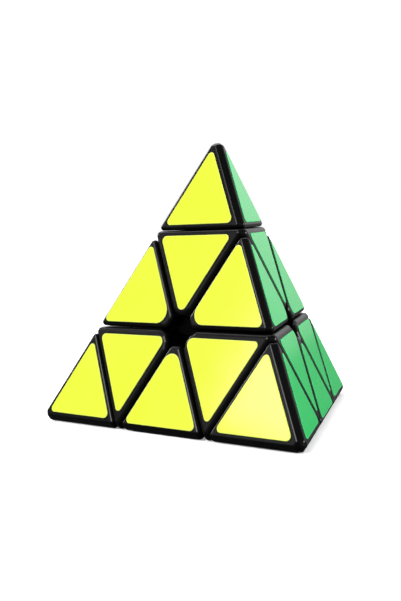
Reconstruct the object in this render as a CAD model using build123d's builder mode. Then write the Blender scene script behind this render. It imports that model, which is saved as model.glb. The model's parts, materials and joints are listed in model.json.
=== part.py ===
from build123d import *
from math import asin, cos, degrees, pi, radians, sin, sqrt, tan
import os

os.makedirs("parts", exist_ok=True)

# A tetrahedral twisty puzzle in three layers. Corner a is the top, b front left, c front right and
# d back. The origin is the core centre, where the four corner axes cross, and +Z runs up through corner a.

# Overall form, in mm
edge_length = 100.0  # sharp edge of the whole tetrahedron, before any rounding
tip_height = 27.85  # from a sharp corner to the cut under its tip
layer_gap = 0.3  # slot between the layers
tip_gap = 0.08  # slot under a tip
corner_blunting = 4.1  # how far the end of a tip stops short of the sharp corner
nose_radius = 2.0  # ball that rounds off the end of a tip
edge_bevel = 1.8  # width of the bevel along the six long edges, on each side
centre_radius = 4.2  # rounding of the six corners that meet in the middle of a side
tip_rounding = 0.9
axial_rounding = 1.4
edge_rounding = 1.1

# Stickers
sticker_thickness = 0.2
tip_sticker_base_margin = 1.65  # each margin runs from the cut or from the long edge to the sticker
tip_sticker_edge_margin = 2.95
axial_sticker_tip_margin = 1.55
axial_sticker_layer_margin = 1.95
edge_sticker_layer_margin = 1.65
edge_sticker_edge_margin = 2.4
small_sticker_corner = 1.2
axial_sticker_centre_corner = 1.75
edge_sticker_centre_corner = 3.2

# Ball mechanism
foot_root_depth = 2.15  # how deep the feet's ball runs past the inner line of an edge piece
foot_thickness = 4.0
foot_half_length = 7.5
hook_angle = 69.5  # the feet reach this far from each axis they turn about
ball_gap = 0.3
hub_radius = 7.0
arm_radius = 2.9
stalk_radius = 6.4
stalk_end = 7.4
stalk_to_foot_gap = 0.9
running_clearance = 0.06
arm_end_play = 0.4

# Tension set in each axial piece
cup_radius = 7.0
cup_root_thickness = 2.8  # the cup's floor stands this far above where the ball hollow meets its wall
cup_floor_thickness = 3.0
screw_radius = 1.5
screw_hole_clearance = 0.15
thread_fit = 0.02
thread_depth = 7.0
thread_runout = 0.3
screw_head_radius = 2.9
screw_head_height = 1.8
cross_slot_width = 0.8
cross_slot_length = 3.6
cross_slot_depth = 1.1
spring_wire = 0.6
spring_radius = 3.1
spring_turns = 4
spring_height = 5.5
spring_seat_play = 0.05
washer_radius = 3.7
washer_thickness = 0.6

# Tip parts
plate_thickness = 2.0
plate_wall = 1.8
cap_wall = 2.3
plate_fit = 0.04
mouth_radius = 4.1
lip_height = 2.4
stem_bore = 2.5
snap_bead = 0.5
snap_play = 0.25
snap_height = 2.2
finger_slot = 1.1

# Directions from the centre to the corners, and the distances that follow from the edge length
side_distance = edge_length * sqrt(6) / 12
corner_distance = 3 * side_distance
long_edge_distance = edge_length * sqrt(2) / 4
layer_cut = side_distance / 3
tip_cut = corner_distance - tip_height
half_gap = layer_gap / 2
half_tip_gap = tip_gap / 2
bevel_depth = edge_bevel * sqrt(2 / 3)
edge_inner_line = (layer_cut + half_gap + edge_rounding) * sqrt(3) - edge_rounding
foot_outer_radius = edge_inner_line + foot_root_depth
foot_inner_radius = foot_outer_radius - foot_thickness
pocket_radius = foot_outer_radius + ball_gap
cup_floor = sqrt(pocket_radius**2 - cup_radius**2) + cup_root_thickness
bore_end = cup_floor - cup_floor_thickness
arm_end = bore_end - arm_end_play
lower_corner_azimuths = {"b": -150, "c": -30, "d": 90}
corner_spread = sqrt(8) / 3
corners = {"a": Vector(0, 0, 1)}
for corner, azimuth in lower_corner_azimuths.items():
    angle = radians(azimuth)
    corners[corner] = Vector(corner_spread * cos(angle), corner_spread * sin(angle), -1 / 3)

# Each side is named by the colour it carries and lies opposite one corner
side_colours = {"d": "yellow", "b": "green", "c": "red", "a": "blue"}
edge_pairs = ["ab", "ac", "ad", "bc", "bd", "cd"]


def between(first, second):
    return (first + second).normalized()


def corner_seat(corner):
    # The half turn about the middle of the long edge a to corner brings the top piece to that corner.
    if corner == "a":
        return Plane.XY
    middle = between(corners["a"], corners[corner])
    x_axis = Vector(1, 0, 0)
    return Plane(origin=(0, 0, 0), x_dir=middle * (2 * middle.dot(x_axis)) - x_axis, z_dir=corners[corner])


def edge_seat(pair):
    first = corners[pair[0]]
    second = corners[pair[1]]
    return Plane(origin=(0, 0, 0), x_dir=first - second, z_dir=between(first, second))


def side_centre(opposite_corner):
    return opposite_corner * -side_distance


def centre_corner_walls(opposite_corner, piece_direction):
    # Three walls that round off a piece's corner in the middle of a side.
    side_middle = side_centre(opposite_corner)
    inward = (side_middle - piece_direction).normalized()
    across = inward.cross(opposite_corner)
    arc_centre = side_middle - inward * (2 * centre_radius)
    walls = []
    for turn in (-30, 0, 30):
        direction = inward * cos(radians(turn)) + across * sin(radians(turn))
        walls.append((direction, direction.dot(arc_centre) + centre_radius))
    return walls


def walled_solid(walls, rounding=0.0):
    # The convex solid inside all the walls, each a direction and a distance from the centre.
    with BuildPart() as body:
        Box(4 * corner_distance, 4 * corner_distance, 4 * corner_distance)
        for direction, distance in walls:
            split(bisect_by=Plane(origin=direction * (distance - rounding), z_dir=direction), keep=Keep.BOTTOM)
        if rounding > 0:
            offset(amount=rounding, kind=Kind.ARC)
    return body.part


def tip_walls(inset, bottom, top):
    # The three sides and three bevels of a tip, set in by a wall, between two heights.
    walls = [(corners["a"] * -1, -bottom), (corners["a"], top)]
    for corner in "bcd":
        walls.append((corners[corner] * -1, side_distance - inset))
        bevel = between(corners["a"], corners[corner])
        walls.append((bevel, long_edge_distance - bevel_depth - inset))
    return walls


def nose_walls(top):
    # Six small walls round the end of a tip, which touch a ball that also touches its top.
    ball_centre = corners["a"] * (top - nose_radius)
    walls = []
    for corner in "bcd":
        for direction in (between(corners["a"], corners[corner]), corners[corner] * -1):
            halfway = between(corners["a"], direction)
            walls.append((halfway, halfway.dot(ball_centre) + nose_radius))
    return walls


# Tip cap: a hollow tetrahedral shell, open below, with a shoulder that the pivot plate seats against
tip_bottom = tip_cut + half_tip_gap
tip_top = corner_distance - corner_blunting
plate_top = tip_bottom + plate_thickness
with BuildPart() as tip_cap:
    add(walled_solid(tip_walls(0, tip_bottom, tip_top) + nose_walls(tip_top), tip_rounding))
    add(walled_solid(tip_walls(plate_wall, tip_bottom - 1, plate_top)), mode=Mode.SUBTRACT)
    add(walled_solid(tip_walls(cap_wall, tip_bottom, tip_top - cap_wall)), mode=Mode.SUBTRACT)

# Tip pivot: the plate with a stem of four snap fingers that turn in the mouth of the axial piece
axial_top = tip_cut - half_tip_gap
lip_bottom = axial_top - lip_height
stem_radius = mouth_radius - running_clearance
bead_top = lip_bottom - snap_play
stem_end = bead_top - snap_height
with BuildPart() as tip_pivot:
    add(walled_solid(tip_walls(plate_wall + plate_fit, tip_bottom, plate_top)))
    with BuildSketch(Plane.XZ) as stem_profile:
        with BuildLine():
            Polyline(
                (stem_bore, tip_bottom + plate_thickness / 2),
                (stem_radius, tip_bottom + plate_thickness / 2),
                (stem_radius, bead_top),
                (stem_radius + snap_bead, bead_top - snap_bead),
                (stem_radius + snap_bead, bead_top - 2 * snap_bead),
                (stem_radius - snap_bead, stem_end),
                (stem_bore, stem_end),
                close=True,
            )
        make_face()
    revolve(axis=Axis.Z)
    with BuildSketch(Plane.XY.offset(stem_end)) as finger_slots:
        Rectangle(3 * stem_radius, finger_slot)
        Rectangle(finger_slot, 3 * stem_radius)
    extrude(amount=axial_top - stem_end, mode=Mode.SUBTRACT)

# Axial piece: an octahedron with a ball-shaped hollow below, a stalk that turns on the core's arm, and a
# cup for the spring and screw under a lip that holds the tip's snap fingers
axial_walls = [(corners["a"], axial_top), (corners["a"] * -1, -layer_cut - half_gap)]
for corner in "bcd":
    axial_walls.append((corners[corner], layer_cut - half_gap))
    axial_walls.append((corners[corner] * -1, side_distance))
    axial_walls.append((between(corners["a"], corners[corner]), long_edge_distance - bevel_depth))
    axial_walls += centre_corner_walls(corners[corner], corners["a"] * corner_distance)
with BuildPart() as axial:
    add(walled_solid(axial_walls, axial_rounding))
    Sphere(pocket_radius, mode=Mode.SUBTRACT)
    with BuildSketch(Plane.XY.offset(stalk_end)) as stalk:
        Circle(stalk_radius)
    extrude(amount=cup_floor - stalk_end)
    with BuildSketch(Plane.XZ) as hollow_profile:
        with BuildLine():
            Polyline(
                (0, stalk_end - 1),
                (arm_radius + running_clearance, stalk_end - 1),
                (arm_radius + running_clearance, bore_end),
                (screw_radius + screw_hole_clearance, bore_end),
                (screw_radius + screw_hole_clearance, cup_floor),
                (cup_radius, cup_floor),
                (cup_radius, lip_bottom),
                (mouth_radius, lip_bottom),
                (mouth_radius, axial_top + 1),
                (0, axial_top + 1),
                close=True,
            )
        make_face()
    revolve(axis=Axis.Z, mode=Mode.SUBTRACT)

# Edge piece, made in its own seat: X runs from its second corner to its first, Z through its middle
first_axis = Vector(sqrt(2 / 3), 0, sqrt(1 / 3))
second_axis = Vector(-sqrt(2 / 3), 0, sqrt(1 / 3))
far_axes = [Vector(0, sqrt(2 / 3), -sqrt(1 / 3)), Vector(0, -sqrt(2 / 3), -sqrt(1 / 3))]
edge_walls = [(Vector(0, 0, 1), long_edge_distance - bevel_depth)]
for axis in (first_axis, second_axis):
    edge_walls.append((axis * -1, -layer_cut - half_gap))
for axis in far_axes:
    edge_walls.append((axis * -1, side_distance))
    edge_walls += centre_corner_walls(axis, Vector(0, 0, long_edge_distance))
first_seat = Plane(origin=(0, 0, 0), x_dir=(0, 1, 0), z_dir=first_axis)
second_seat = Plane(origin=(0, 0, 0), x_dir=(0, 1, 0), z_dir=second_axis)
hook = radians(hook_angle)
hook_end = 2 * foot_outer_radius
foot_bore = stalk_radius + stalk_to_foot_gap
with BuildPart() as slide_ring:
    with BuildSketch(Plane.XZ) as ring_profile:
        with BuildLine():
            outer_start = degrees(asin(foot_bore / foot_outer_radius))
            inner_start = degrees(asin(foot_bore / foot_inner_radius))
            CenterArc((0, 0), foot_outer_radius, 90 - hook_angle, hook_angle - outer_start)
            CenterArc((0, 0), foot_inner_radius, 90 - hook_angle, hook_angle - inner_start)
            Line(
                (foot_bore, foot_outer_radius * cos(radians(outer_start))),
                (foot_bore, foot_inner_radius * cos(radians(inner_start))),
            )
            Line(
                (foot_outer_radius * sin(hook), foot_outer_radius * cos(hook)),
                (foot_inner_radius * sin(hook), foot_inner_radius * cos(hook)),
            )
        make_face()
    revolve(axis=Axis.Z)
with BuildPart() as beyond_hook:
    with BuildSketch(Plane.XZ) as beyond_profile:
        with BuildLine():
            Polyline(
                (0, 0),
                (hook_end * sin(hook), hook_end * cos(hook)),
                (hook_end * sin(hook), -hook_end),
                (0, -hook_end),
                close=True,
            )
        make_face()
    revolve(axis=Axis.Z)
with BuildPart() as foot:
    with Locations(first_seat):
        add(slide_ring.part)
    split(bisect_by=Plane.XZ.offset(foot_half_length), keep=Keep.BOTTOM)
    split(bisect_by=Plane.XZ.offset(-foot_half_length), keep=Keep.TOP)
    with Locations(second_seat):
        add(beyond_hook.part, mode=Mode.SUBTRACT)
        Cylinder(foot_bore, 2 * hook_end, mode=Mode.SUBTRACT)
with BuildPart() as edge:
    add(walled_solid(edge_walls, edge_rounding))
    add(foot.part)

# Core: a ball hub with four drilled arms
with BuildPart() as core:
    Sphere(hub_radius)
    for corner in corners:
        with BuildSketch(corner_seat(corner)) as arm:
            Circle(arm_radius)
        extrude(amount=arm_end)
    for corner in corners:
        with BuildSketch(corner_seat(corner).offset(arm_end - thread_depth)) as pilot:
            Circle(screw_radius + thread_fit)
        extrude(amount=thread_depth, mode=Mode.SUBTRACT)

# Tension set: spring on the cup floor, washer on the spring, screw through both into the arm
spring_bottom = cup_floor + spring_seat_play
washer_bottom = spring_bottom + spring_height
washer_top = washer_bottom + washer_thickness
screw_end = arm_end - thread_depth + thread_runout
with BuildPart() as screw:
    with BuildSketch(Plane.XY.offset(screw_end)) as shank:
        Circle(screw_radius)
    extrude(amount=washer_top - screw_end)
    with BuildSketch(Plane.XY.offset(washer_top)) as head:
        Circle(screw_head_radius)
    extrude(amount=screw_head_height)
    fillet(screw.edges().group_by(Axis.Z)[-1], radius=screw_head_height / 2)
    with BuildSketch(Plane.XY.offset(washer_top + screw_head_height)) as cross:
        Rectangle(cross_slot_length, cross_slot_width)
        Rectangle(cross_slot_width, cross_slot_length)
    extrude(amount=-cross_slot_depth, mode=Mode.SUBTRACT)

with BuildPart() as washer:
    with BuildSketch(Plane.XY.offset(washer_bottom)) as ring:
        Circle(washer_radius)
        Circle(screw_radius + screw_hole_clearance, mode=Mode.SUBTRACT)
    extrude(amount=washer_thickness)

coil_height = spring_height - spring_wire
with BuildPart() as spring:
    with BuildLine() as coil:
        Helix(
            pitch=coil_height / spring_turns,
            height=coil_height,
            radius=spring_radius,
            center=(0, 0, spring_bottom + spring_wire / 2),
        )
    with BuildSketch(coil.line ^ 0) as wire:
        Circle(spring_wire / 2)
    sweep(path=coil.line)


def save_piece(name, shape, seat=Plane.XY):
    with BuildPart() as piece:
        with Locations(seat):
            add(shape)
    piece.part.label = name
    export_step(piece.part, f"parts/{name}.step")


def save_corner_set(name, shape):
    # One node of four alike fasteners, one at each corner.
    with BuildPart() as pieces:
        for corner in corners:
            with Locations(corner_seat(corner)):
                add(shape)
    pieces.part.label = name
    export_step(pieces.part, f"parts/{name}.step")


def save_sticker(name, opposite_corner, middle, apex, base, apex_radius):
    # An equilateral vinyl label on one side, pointing along the line from the side's middle to the piece.
    side_middle = side_centre(opposite_corner)
    outward = opposite_corner * -1
    upward = (middle - side_middle).normalized()
    half_base = abs(base - apex) * tan(pi / 6)
    with BuildPart() as sticker:
        with BuildSketch(Plane(origin=side_middle, x_dir=upward.cross(outward), z_dir=outward)) as outline:
            with BuildLine():
                Polyline((-half_base, base), (half_base, base), (0, apex), close=True)
            make_face()
            pointed = outline.vertices().filter_by_position(Axis.X, -half_base / 2, half_base / 2)
            fillet(pointed, radius=apex_radius)
            blunt = outline.vertices().group_by(Axis.Y)
            fillet(blunt[-1] if base > apex else blunt[0], radius=small_sticker_corner)
        extrude(amount=sticker_thickness)
    sticker.part.label = name
    export_step(sticker.part, f"parts/{name}.step")


save_piece("core", core.part)
save_corner_set("tension_screws", screw.part)
save_corner_set("tension_springs", spring.part)
save_corner_set("spring_washers", washer.part)
for corner in corners:
    save_piece(f"tip_cap_{corner}", tip_cap.part, corner_seat(corner))
    save_piece(f"tip_pivot_{corner}", tip_pivot.part, corner_seat(corner))
    save_piece(f"axial_{corner}", axial.part, corner_seat(corner))
for pair in edge_pairs:
    save_piece(f"edge_{pair}", edge.part, edge_seat(pair))

# Distances on a side, from its middle: to a corner, to a long edge and to the cut under a tip
side_to_corner = edge_length / sqrt(3)
side_to_edge = side_to_corner / 2
side_to_tip_cut = (tip_cut - layer_cut) / corner_spread
for opposite, colour in side_colours.items():
    for corner in corners:
        if corner != opposite:
            save_sticker(
                f"sticker_tip_{corner}_{colour}",
                corners[opposite],
                corners[corner] * corner_distance,
                apex=side_to_corner - 2 * tip_sticker_edge_margin,
                base=side_to_tip_cut + tip_sticker_base_margin,
                apex_radius=small_sticker_corner,
            )
            save_sticker(
                f"sticker_axial_{corner}_{colour}",
                corners[opposite],
                corners[corner] * corner_distance,
                apex=2 * axial_sticker_layer_margin,
                base=side_to_tip_cut - axial_sticker_tip_margin,
                apex_radius=axial_sticker_centre_corner,
            )
    for pair in edge_pairs:
        if opposite not in pair:
            save_sticker(
                f"sticker_edge_{pair}_{colour}",
                corners[opposite],
                between(corners[pair[0]], corners[pair[1]]) * long_edge_distance,
                apex=2 * edge_sticker_layer_margin,
                base=side_to_edge - edge_sticker_edge_margin,
                apex_radius=edge_sticker_centre_corner,
            )
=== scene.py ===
import bpy
import json
import math
from mathutils import Matrix, Vector


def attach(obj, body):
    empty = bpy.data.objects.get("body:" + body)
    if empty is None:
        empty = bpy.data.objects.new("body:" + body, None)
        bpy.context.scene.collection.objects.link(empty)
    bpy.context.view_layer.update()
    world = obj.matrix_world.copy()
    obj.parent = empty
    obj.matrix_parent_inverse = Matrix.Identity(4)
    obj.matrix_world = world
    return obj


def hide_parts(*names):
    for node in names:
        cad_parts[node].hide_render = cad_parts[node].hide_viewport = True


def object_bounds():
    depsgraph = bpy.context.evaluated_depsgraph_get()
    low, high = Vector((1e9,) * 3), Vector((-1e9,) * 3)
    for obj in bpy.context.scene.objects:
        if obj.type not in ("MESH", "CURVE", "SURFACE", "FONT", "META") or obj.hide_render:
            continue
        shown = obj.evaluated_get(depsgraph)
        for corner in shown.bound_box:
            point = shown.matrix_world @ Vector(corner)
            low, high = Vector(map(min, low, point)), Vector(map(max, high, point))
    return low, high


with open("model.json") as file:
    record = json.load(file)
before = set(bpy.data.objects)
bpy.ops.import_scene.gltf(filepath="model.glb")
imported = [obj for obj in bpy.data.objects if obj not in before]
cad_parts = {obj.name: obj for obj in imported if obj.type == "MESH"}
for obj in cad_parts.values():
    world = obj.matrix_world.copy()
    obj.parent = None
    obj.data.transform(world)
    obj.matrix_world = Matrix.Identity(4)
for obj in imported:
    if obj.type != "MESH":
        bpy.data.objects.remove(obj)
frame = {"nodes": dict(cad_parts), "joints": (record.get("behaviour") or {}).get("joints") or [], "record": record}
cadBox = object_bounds()
nodes = frame["nodes"]
print("frame loaded:", len(nodes), "nodes")

# Corner a is the top, b front left, c front right, d back; each side is named by its label colour
axisOf = {joint["name"]: Vector(joint["axis"]).normalized() for joint in frame["joints"]}
corners = {letter: axisOf["turn_" + letter] for letter in "abcd"}
sideColours = {"d": "yellow", "b": "green", "c": "red", "a": "blue"}
bodyOf = {node: body for body, members in frame["record"]["behaviour"]["bodies"].items() for node in members}


def newTree(name, kind, takes, gives):
    tree = bpy.data.node_groups.new(name, kind)
    for label, socketType, value in takes:
        socket = tree.interface.new_socket(name=label, in_out="INPUT", socket_type="NodeSocket" + socketType)
        if value is not None:
            socket.default_value = value
    for label, socketType in gives:
        tree.interface.new_socket(name=label, in_out="OUTPUT", socket_type="NodeSocket" + socketType)
    return tree, tree.nodes.new("NodeGroupInput").outputs, tree.nodes.new("NodeGroupOutput").inputs


def put(tree, kind, sockets=None, **settings):
    # A new node with its settings; each socket takes a value or a link
    made = tree.nodes.new(kind)
    for key, value in settings.items():
        setattr(made, key, value)
    for key, value in (sockets or {}).items():
        if isinstance(value, bpy.types.NodeSocket):
            tree.links.new(value, made.inputs[key])
        else:
            made.inputs[key].default_value = value
    return made


def sums(tree, operation, *values):
    return put(tree, "ShaderNodeMath", dict(enumerate(values)), operation=operation).outputs[0]


# Shader groups shared by the finishes

def cloudy(tree, place, seed, scale, detail, roughness):
    made = put(tree, "ShaderNodeTexNoise",
               {"Vector": place, "W": seed, "Scale": scale, "Detail": detail, "Roughness": roughness},
               noise_dimensions="4D")
    return made.outputs[0]


def makeSpecks():
    # Soft cloudy variation and fine grain, from the piece's own object coordinates
    tree, given, out = newTree(
        "surfaceGrain", "ShaderNodeTree",
        [("Cloud Size", "Float", 0.012), ("Grain Size", "Float", 0.0003), ("Seed", "Float", 0.0)],
        [("Cloud", "Float"), ("Grain", "Float")])
    place = put(tree, "ShaderNodeTexCoord").outputs["Object"]
    cloudScale = sums(tree, "DIVIDE", 1.0, given["Cloud Size"])
    grainScale = sums(tree, "DIVIDE", 1.0, given["Grain Size"])
    tree.links.new(cloudy(tree, place, given["Seed"], cloudScale, 3.0, 0.55), out["Cloud"])
    tree.links.new(cloudy(tree, place, given["Seed"], grainScale, 2.0, 0.6), out["Grain"])
    return tree


scuffPlan = {
    "turns": ((0.3, 0.5, 0.4), (1.1, -0.4, 1.9)),
    "stretches": ((1.0, 0.06, 1.0), (0.05, 1.0, 1.0)),
    "patchScale": 90.0,  # the rubs come in patches
    "patchStart": 0.5,
    "patchFull": 0.68,
}


def makeScuffs():
    # Hairline rubs in two directions, where a stretched noise crosses its middle value
    tree, given, out = newTree(
        "hairScuffs", "ShaderNodeTree",
        [("Spacing", "Float", 0.004), ("Width", "Float", 0.02), ("Seed", "Float", 0.0)],
        [("Mask", "Float")])
    place = put(tree, "ShaderNodeTexCoord").outputs["Object"]
    scale = sums(tree, "DIVIDE", 1.0, given["Spacing"])
    masks = []
    for turn, stretch in zip(scuffPlan["turns"], scuffPlan["stretches"]):
        turned = put(tree, "ShaderNodeMapping", {"Vector": place, "Rotation": turn, "Scale": stretch})
        noise = cloudy(tree, turned.outputs[0], given["Seed"], scale, 1.0, 0.5)
        away = sums(tree, "ABSOLUTE", sums(tree, "SUBTRACT", noise, 0.5))
        rub = put(tree, "ShaderNodeMapRange",
                  {"Value": away, "From Min": 0.0, "From Max": given["Width"], "To Min": 1.0, "To Max": 0.0},
                  interpolation_type="SMOOTHSTEP")
        masks.append(rub.outputs[0])
    both = sums(tree, "MAXIMUM", *masks)
    patch = cloudy(tree, place, given["Seed"], scuffPlan["patchScale"], 2.0, 0.5)
    patches = put(tree, "ShaderNodeMapRange",
                  {"Value": patch, "From Min": scuffPlan["patchStart"], "From Max": scuffPlan["patchFull"]},
                  interpolation_type="SMOOTHSTEP")
    tree.links.new(sums(tree, "MULTIPLY", both, patches.outputs[0]), out["Mask"])
    return tree


surfaceGrain = makeSpecks()
hairScuffs = makeScuffs()


def newFinish(name):
    material = bpy.data.materials.new(name)
    material.use_nodes = True
    tree = material.node_tree
    return material, tree, tree.nodes["Principled BSDF"]


def grained(tree, cloudSize, grainSize, seed):
    made = put(tree, "ShaderNodeGroup", node_tree=surfaceGrain)
    for label, value in (("Cloud Size", cloudSize), ("Grain Size", grainSize), ("Seed", seed)):
        made.inputs[label].default_value = value
    return made.outputs


def scuffed(tree, spacing, width, seed):
    made = put(tree, "ShaderNodeGroup", node_tree=hairScuffs)
    for label, value in (("Spacing", spacing), ("Width", width), ("Seed", seed)):
        made.inputs[label].default_value = value
    return made.outputs["Mask"]


noiseSpan = {"low": 0.3, "high": 0.7}  # a noise value seldom leaves this span


def ranged(tree, value, low, high):
    return put(tree, "ShaderNodeMapRange",
               {"Value": value, "From Min": noiseSpan["low"], "From Max": noiseSpan["high"],
                "To Min": low, "To Max": high}).outputs[0]


def blended(tree, factor, first, second):
    # Factor 0 gives the first colour and 1 the second; each is a socket or three numbers
    ends = []
    for colour in (first, second):
        ends.append(colour if isinstance(colour, bpy.types.NodeSocket) else (*colour, 1))
    return put(tree, "ShaderNodeMix", {0: factor, 6: ends[0], 7: ends[1]}, data_type="RGBA").outputs[2]


def bumped(tree, height, depth, under=None):
    sockets = {"Height": height, "Distance": depth, "Strength": 1.0}
    if under is not None:
        sockets["Normal"] = under
    return put(tree, "ShaderNodeBump", sockets).outputs[0]


plasticLook = {
    "deep": (0.0006, 0.0006, 0.0007),
    "pale": (0.0018, 0.0017, 0.0018),
    "roughness": (0.26, 0.31),
    "flowSize": 0.014,
    "scuffSpacing": 0.0035,
    "scuffWidth": 0.015,
    "scuffRoughness": 0.12,
    "grainSize": 0.00022,
    "grainDepth": 0.000003,
    "specular": 0.18,
}


def makePlastic(name, look, seed):
    # Moulded black plastic: satin, with a fine grain and faint flow marks
    material, tree, shader = newFinish(name)
    grain = grained(tree, look["flowSize"], look["grainSize"], seed)
    scuffs = scuffed(tree, look["scuffSpacing"], look["scuffWidth"], seed + 2)
    tree.links.new(blended(tree, ranged(tree, grain["Cloud"], 0, 1), look["deep"], look["pale"]),
                   shader.inputs["Base Color"])
    rough = sums(tree, "MULTIPLY_ADD", scuffs, look["scuffRoughness"],
                 ranged(tree, grain["Cloud"], *look["roughness"]))
    tree.links.new(rough, shader.inputs["Roughness"])
    tree.links.new(bumped(tree, grain["Grain"], look["grainDepth"]), shader.inputs["Normal"])
    shader.inputs["Specular IOR Level"].default_value = look["specular"]
    return material


# The rim colours are a painted highlight: the label's cut rim drawn paler, as if it caught the light
vinylLook = {
    "yellow": {"main": (0.79, 0.92, 0.062), "deep": (0.77, 0.91, 0.050), "rim": (0.83, 0.95, 0.12)},
    "green": {"main": (0.014, 0.57, 0.133), "deep": (0.011, 0.54, 0.118), "rim": (0.035, 0.61, 0.165)},
    "red": {"main": (0.66, 0.018, 0.016), "deep": (0.61, 0.014, 0.013), "rim": (0.80, 0.16, 0.14)},
    "blue": {"main": (0.010, 0.075, 0.46), "deep": (0.008, 0.062, 0.42), "rim": (0.10, 0.22, 0.60)},
}
vinylSurface = {
    "roughness": (0.09, 0.13),
    "rimRoughness": 0.6,
    "patchSize": 0.02,  # slow change of tone
    "sheenSize": 0.004,  # slow change of gloss
    "scuffSpacing": 0.005,
    "scuffWidth": 0.012,
    "scuffRoughness": 0.04,
    "peelSize": 0.0040,
    "peelDepth": 0.0000004,
    "grainSize": 0.00030,
    "grainDepth": 0.0000001,
    "specular": 0.5,
}


def makeVinyl(colour, seed):
    # Cut vinyl: even colour, soft sheen, a faint waviness from the glue under it, and a painted highlight along
    # the cut rim, whose faces take a paler colour and a higher roughness
    look, surface = vinylLook[colour], vinylSurface
    material, tree, shader = newFinish("vinyl_" + colour)
    grain = grained(tree, surface["peelSize"], surface["grainSize"], seed)
    broad = grained(tree, surface["patchSize"], surface["sheenSize"], seed + 5)
    scuffs = scuffed(tree, surface["scuffSpacing"], surface["scuffWidth"], seed + 9)
    face = blended(tree, ranged(tree, broad["Cloud"], 0, 1), look["main"], look["deep"])
    rim = put(tree, "ShaderNodeAttribute", attribute_name="rim", attribute_type="GEOMETRY").outputs["Fac"]
    # Painted highlight: the rim faces take the paler rim colour
    tree.links.new(blended(tree, rim, face, look["rim"]), shader.inputs["Base Color"])
    rough = sums(tree, "MULTIPLY_ADD", scuffs, surface["scuffRoughness"],
                 ranged(tree, broad["Grain"], *surface["roughness"]))
    cutEdge = sums(tree, "MULTIPLY", rim, surface["rimRoughness"])
    tree.links.new(sums(tree, "MAXIMUM", rough, cutEdge), shader.inputs["Roughness"])
    peel = bumped(tree, grain["Cloud"], surface["peelDepth"])
    tree.links.new(bumped(tree, grain["Grain"], surface["grainDepth"], peel), shader.inputs["Normal"])
    shader.inputs["Specular IOR Level"].default_value = surface["specular"]
    return material


steelLook = {
    "bright": (0.62, 0.61, 0.58),
    "dull": (0.5084, 0.5002, 0.4756),
    "roughness": (0.22, 0.36),
    "cloudSize": 0.003,
    "grainSize": 0.00012,
    "grainDepth": 0.000002,
}


def makeSteel(name, look, seed):
    # Plated steel of the screws, springs and washers
    material, tree, shader = newFinish(name)
    grain = grained(tree, look["cloudSize"], look["grainSize"], seed)
    tree.links.new(blended(tree, ranged(tree, grain["Cloud"], 0, 1), look["bright"], look["dull"]),
                   shader.inputs["Base Color"])
    tree.links.new(ranged(tree, grain["Grain"], *look["roughness"]), shader.inputs["Roughness"])
    tree.links.new(bumped(tree, grain["Grain"], look["grainDepth"]), shader.inputs["Normal"])
    shader.inputs["Metallic"].default_value = 1.0
    return material


shellPlastic = makePlastic("shellPlastic", plasticLook, 1.0)
vinyls = {colour: makeVinyl(colour, 3.0 + place) for place, colour in enumerate(sideColours.values())}
screwSteel = makeSteel("screwSteel", steelLook, 7.0)
for name, node in nodes.items():
    if name.startswith("sticker_"):
        finish = vinyls[name.split("_")[-1]]
    elif name in ("tension_screws", "tension_springs", "spring_washers"):
        finish = screwSteel
    else:
        finish = shellPlastic
    node.data.materials.clear()
    node.data.materials.append(finish)
print("finishes made")

# Labels: one tree makes every cut vinyl triangle, pointing along +Y, its lower face at Z 0. The face
# attribute rim marks all but the flat top

labelSizes = {
    "tip": {"pointRadius": 0.0012, "baseRadius": 0.0012},
    "axial": {"pointRadius": 0.00175, "baseRadius": 0.0012},
    "edge": {"pointRadius": 0.0032, "baseRadius": 0.0012},
    "rimRound": 0.00009,
    "cornerSteps": 7,
    "rimSteps": 3,
    "mergeDistance": 0.0000001,
    "smoothAngle": 40,
}


def raised(tree, mesh, selection, height):
    offset = put(tree, "ShaderNodeCombineXYZ", {"Z": height}).outputs[0]
    sockets = {"Mesh": mesh, "Offset": offset, "Offset Scale": 1.0, "Individual": False}
    if selection is not None:
        sockets["Selection"] = selection
    grown = put(tree, "GeometryNodeExtrudeMesh", sockets, mode="FACES")
    return grown.outputs["Mesh"], grown.outputs["Top"]


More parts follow.
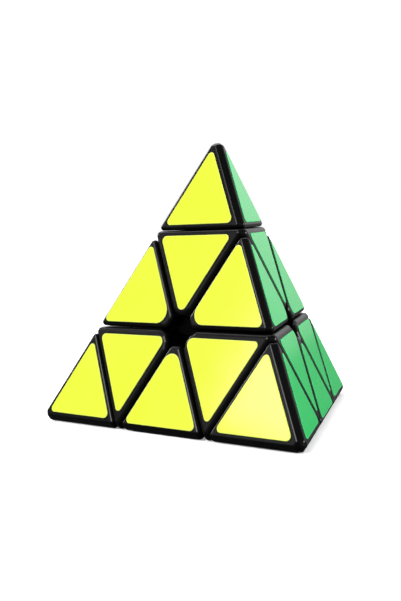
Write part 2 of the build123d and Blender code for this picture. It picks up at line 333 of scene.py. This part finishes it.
def makeLabelTree():
    tree, given, out = newTree(
        "cutLabel", "GeometryNodeTree",
        [("Height", "Float", 0.02), ("Point Radius", "Float", 0.001), ("Base Radius", "Float", 0.001),
         ("Thickness", "Float", 0.0002), ("Rim Round", "Float", 0.0001), ("Corner Steps", "Int", 6),
         ("Finish", "Material", None)],
        [("Mesh", "Geometry")])
    reach = sums(tree, "MULTIPLY", given["Height"], 2 / 3)
    inner = sums(tree, "DIVIDE", given["Height"], 3.0)
    # A three-sided circle, its first corner turned to +Y, which is the one with the point radius
    triangle = put(tree, "GeometryNodeCurvePrimitiveCircle", {"Resolution": 3, "Radius": reach})
    turned = put(tree, "GeometryNodeTransform",
                 {"Geometry": triangle.outputs["Curve"], "Rotation": (0, 0, math.pi / 2)})
    first = sums(tree, "LESS_THAN", put(tree, "GeometryNodeInputIndex").outputs[0], 0.5)
    extra = sums(tree, "SUBTRACT", given["Point Radius"], given["Base Radius"])
    radius = sums(tree, "MULTIPLY_ADD", first, extra, given["Base Radius"])
    rounded = put(tree, "GeometryNodeFilletCurve",
                  {"Curve": turned.outputs[0], "Count": given["Corner Steps"], "Radius": radius}, mode="POLY")
    face = put(tree, "GeometryNodeFillCurve", {"Curve": rounded.outputs[0]}, mode="NGONS").outputs[0]
    position = put(tree, "GeometryNodeInputPosition").outputs[0]
    # The wall, then the rim's quarter round: how far in and how high, in rim roundings. The last level is a
    # narrow flat ring, which keeps the shading of the top flat
    straight = sums(tree, "SUBTRACT", given["Thickness"], given["Rim Round"])
    mesh, top = raised(tree, face, None, straight)
    levels = []
    for step in range(1, labelSizes["rimSteps"] + 1):
        angle = math.pi / 2 * step / labelSizes["rimSteps"]
        levels.append((1 - math.cos(angle), math.sin(angle)))
    levels.append((2.0, 1.0))
    lastRise, lastScale = 0.0, None
    for inset, rise in levels:
        mesh, top = raised(tree, mesh, top, sums(tree, "MULTIPLY", given["Rim Round"], rise - lastRise))
        drawnIn = sums(tree, "DIVIDE", sums(tree, "MULTIPLY", given["Rim Round"], inset), inner)
        scale = sums(tree, "SUBTRACT", 1.0, drawnIn)
        step = scale if lastScale is None else sums(tree, "DIVIDE", scale, lastScale)
        lastRise, lastScale = rise, scale
        spread = put(tree, "ShaderNodeCombineXYZ", {"X": step, "Y": step, "Z": 1.0}).outputs[0]
        moved = put(tree, "ShaderNodeVectorMath", {0: position, 1: spread}, operation="MULTIPLY").outputs[0]
        mesh = put(tree, "GeometryNodeSetPosition",
                   {"Geometry": mesh, "Selection": top, "Position": moved}).outputs[0]
    # rim marks the faces where the vinyl finish paints its highlight and raises the roughness
    notTop = put(tree, "FunctionNodeBooleanMath", {0: top}, operation="NOT").outputs[0]
    mesh = put(tree, "GeometryNodeStoreNamedAttribute", {"Geometry": mesh, "Name": "rim", "Value": notTop},
               data_type="FLOAT", domain="FACE").outputs[0]
    under = put(tree, "GeometryNodeFlipFaces", {"Mesh": face}).outputs[0]
    joined = put(tree, "GeometryNodeJoinGeometry", {0: mesh})
    tree.links.new(under, joined.inputs[0])
    merged = put(tree, "GeometryNodeMergeByDistance",
                 {"Geometry": joined.outputs[0], "Distance": labelSizes["mergeDistance"]})
    real = put(tree, "GeometryNodeRealizeInstances", {"Geometry": merged.outputs[0]})
    finished = put(tree, "GeometryNodeSetMaterial",
                   {"Geometry": real.outputs[0], "Material": given["Finish"]})
    tree.links.new(finished.outputs[0], out["Mesh"])
    return tree


def grow(tree, name, values):
    # The tree's result as a plain mesh object, its modifier gone
    seedMesh = bpy.data.meshes.new(name + "_start")
    holder = bpy.data.objects.new(name + "_start", seedMesh)
    bpy.context.scene.collection.objects.link(holder)
    modifier = holder.modifiers.new("grow", "NODES")
    modifier.node_group = tree
    for item in tree.interface.items_tree:
        if item.in_out == "INPUT" and item.name in values:
            modifier[item.identifier] = values[item.name]
    bpy.context.view_layer.update()
    grown = holder.evaluated_get(bpy.context.evaluated_depsgraph_get())
    mesh = bpy.data.meshes.new_from_object(grown)
    bpy.data.objects.remove(holder)
    bpy.data.meshes.remove(seedMesh)
    mesh.name = name
    made = bpy.data.objects.new(name, mesh)
    bpy.context.scene.collection.objects.link(made)
    return made


def smooth(mesh, angle):
    for polygon in mesh.polygons:
        polygon.use_smooth = True
    mesh.set_sharp_from_angle(angle=math.radians(angle))


def span(node, direction):
    # How far the CAD node reaches along a direction
    reach = [direction.dot(vertex.co) for vertex in nodes[node].data.vertices]
    return min(reach), max(reach)


labelTree = makeLabelTree()
stickers = [name for name in nodes if name.startswith("sticker_")]
for node in stickers:
    kind, where, colour = node.split("_")[1:]
    sizes = labelSizes[kind]
    opposite = next(letter for letter, side in sideColours.items() if side == colour)
    outward = -corners[opposite]
    piece = sum((corners[letter] for letter in where), Vector())
    along = (piece - outward * outward.dot(piece)).normalized()
    if kind != "tip":
        along = -along
    across = along.cross(outward)
    low, high = span(node, outward)
    base, point = span(node, along)
    height = point + sizes["pointRadius"] - base
    label = grow(labelTree, node.replace("sticker", "label"), {
        "Height": height, "Point Radius": sizes["pointRadius"], "Base Radius": sizes["baseRadius"],
        "Thickness": high - low, "Rim Round": labelSizes["rimRound"],
        "Corner Steps": labelSizes["cornerSteps"], "Finish": vinyls[colour]})
    middle = outward * low + along * (base + height / 3)
    label.data.transform(Matrix((across, along, outward)).transposed().to_4x4())
    label.data.transform(Matrix.Translation(middle))
    smooth(label.data, labelSizes["smoothAngle"])
    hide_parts(node)
    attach(label, bodyOf[node])
print("labels cut:", len(stickers))

# Floor, light and camera

floorPlan = {
    "radius": 4.0,
    "sides": 128,
    "colour": (0.97, 0.97, 0.97),
    "tone": (0.9555, 0.9555, 0.9555),
    "cloudSize": 0.3,
    "grainSize": 0.004,
    "reflected": (0.07, 0.07, 0.07),  # what the object mirrors is kept dim
    "lift": 0.3,  # leaves only a soft contact shadow
    "roughness": 0.8,
    "specular": 0.1,
}
floorMesh = bpy.data.meshes.new("floor")
ring = []
for place in range(floorPlan["sides"]):
    around = 2 * math.pi * place / floorPlan["sides"]
    ring.append((floorPlan["radius"] * math.cos(around), floorPlan["radius"] * math.sin(around), cadBox[0].z))
floorMesh.from_pydata(ring, [], [tuple(range(floorPlan["sides"]))])
floor = bpy.data.objects.new("floor", floorMesh)
bpy.context.scene.collection.objects.link(floor)
floorFinish, floorNodes, floorShader = newFinish("paleFloor")
floorCloud = grained(floorNodes, floorPlan["cloudSize"], floorPlan["grainSize"], 11.0)["Cloud"]
paleColour = blended(floorNodes, floorCloud, floorPlan["colour"], floorPlan["tone"])
seenFloor = put(floorNodes, "ShaderNodeLightPath").outputs["Is Camera Ray"]
floorNodes.links.new(blended(floorNodes, seenFloor, floorPlan["reflected"], paleColour),
                     floorShader.inputs["Base Color"])
floorShader.inputs["Emission Color"].default_value = (1, 1, 1, 1)
floorNodes.links.new(sums(floorNodes, "MULTIPLY", seenFloor, floorPlan["lift"]),
                     floorShader.inputs["Emission Strength"])
floorShader.inputs["Roughness"].default_value = floorPlan["roughness"]
floorShader.inputs["Specular IOR Level"].default_value = floorPlan["specular"]
floorMesh.materials.append(floorFinish)

# The key lights the front, the right sun the green side, the left sun the back and the tops, and the side
# sun draws the thin streaks along the black bars
sunPlans = [
    {"name": "keySun", "from": (-0.08, -0.75, 0.66), "power": 3.08, "spread": 24},
    {"name": "rightSun", "from": (0.86, 0.45, 0.26), "power": 3.65, "spread": 24},
    {"name": "leftSun", "from": (-0.50, 0.28, 0.82), "power": 1.6, "spread": 45},
    {"name": "sideSun", "from": (-0.89, -0.20, 0.39), "power": 0.9, "spread": 12},
]
for plan in sunPlans:
    sun = bpy.data.lights.new(plan["name"], "SUN")
    sun.energy, sun.angle = plan["power"], math.radians(plan["spread"])
    holder = bpy.data.objects.new(plan["name"], sun)
    holder.rotation_euler = Vector(plan["from"]).to_track_quat("Z", "Y").to_euler()
    bpy.context.scene.collection.objects.link(holder)

# A small panel that the front side mirrors near corner c
panelPlan = {
    "azimuth": 232.0,
    "elevation": 22.6,
    "distance": 1.0,
    "width": 0.13,
    "height": 0.17,
    "tilt": -5,
    "power": 0.42,
}
panel = bpy.data.lights.new("frontPanel", "AREA")
panel.shape, panel.size, panel.size_y = "RECTANGLE", panelPlan["width"], panelPlan["height"]
panel.energy = panelPlan["power"]
panelHolder = bpy.data.objects.new("frontPanel", panel)
level, around = math.radians(panelPlan["elevation"]), math.radians(panelPlan["azimuth"])
panelHolder.location = panelPlan["distance"] * Vector(
    (math.cos(level) * math.cos(around), math.cos(level) * math.sin(around), math.sin(level)))
panelTurn = panelHolder.location.to_track_quat("Z", "Y").to_matrix()
panelHolder.rotation_euler = (panelTurn @ Matrix.Rotation(math.radians(panelPlan["tilt"]), 3, "Z")).to_euler()
panelHolder.visible_camera = False
bpy.context.scene.collection.objects.link(panelHolder)

# A dim room, brighter behind the object and brightest high up there; the camera sees it white
worldPlan = {
    "front": 0.14,
    "backLow": 0.42,
    "backHigh": 0.82,
    "seen": 1.0,
    "backStart": 0.3,
    "backFull": 0.85,
    "lowest": -0.04,
    "highest": 0.18,
}
world = bpy.data.worlds.new("studio")
bpy.context.scene.world = world
world.use_nodes = True
worldTree = world.node_tree
worldTree.nodes.clear()
direction = put(worldTree, "ShaderNodeTexCoord").outputs["Generated"]
reach = put(worldTree, "ShaderNodeSeparateXYZ", {0: direction}).outputs
backGlow = put(worldTree, "ShaderNodeMapRange",
               {"Value": reach["Z"], "From Min": worldPlan["lowest"], "From Max": worldPlan["highest"],
                "To Min": worldPlan["backLow"], "To Max": worldPlan["backHigh"]},
               interpolation_type="SMOOTHSTEP").outputs[0]
glow = put(worldTree, "ShaderNodeMapRange",
           {"Value": reach["Y"], "From Min": worldPlan["backStart"], "From Max": worldPlan["backFull"],
            "To Min": worldPlan["front"], "To Max": backGlow},
           interpolation_type="SMOOTHSTEP").outputs[0]
roomLight = put(worldTree, "ShaderNodeBackground", {"Color": (1, 1, 1, 1), "Strength": glow})
backdrop = put(worldTree, "ShaderNodeBackground", {"Color": (1, 1, 1, 1), "Strength": worldPlan["seen"]})
seen = put(worldTree, "ShaderNodeLightPath").outputs["Is Camera Ray"]
mixed = put(worldTree, "ShaderNodeMixShader", {0: seen, 1: roomLight.outputs[0], 2: backdrop.outputs[0]})
put(worldTree, "ShaderNodeOutputWorld", {"Surface": mixed.outputs[0]})
bpy.context.scene.view_settings.view_transform = "Standard"

cameraPlan = {
    "place": (0.21187, -0.23922, 0.03658),
    "right": (0.73635, 0.67525, -0.04275),
    "up": (-0.01730, 0.08196, 0.99649),
    "lens": 68.28,
    "nearest": 0.01,
}
camera = bpy.data.objects.new("camera", bpy.data.cameras.new("camera"))
bpy.context.scene.collection.objects.link(camera)
right, up = Vector(cameraPlan["right"]).normalized(), Vector(cameraPlan["up"]).normalized()
turn = Matrix((right, up, right.cross(up))).transposed().to_4x4()
camera.matrix_world = Matrix.Translation(cameraPlan["place"]) @ turn
camera.data.lens = cameraPlan["lens"]
camera.data.clip_start = cameraPlan["nearest"]
bpy.context.scene.camera = camera
print("stage, light and camera set")
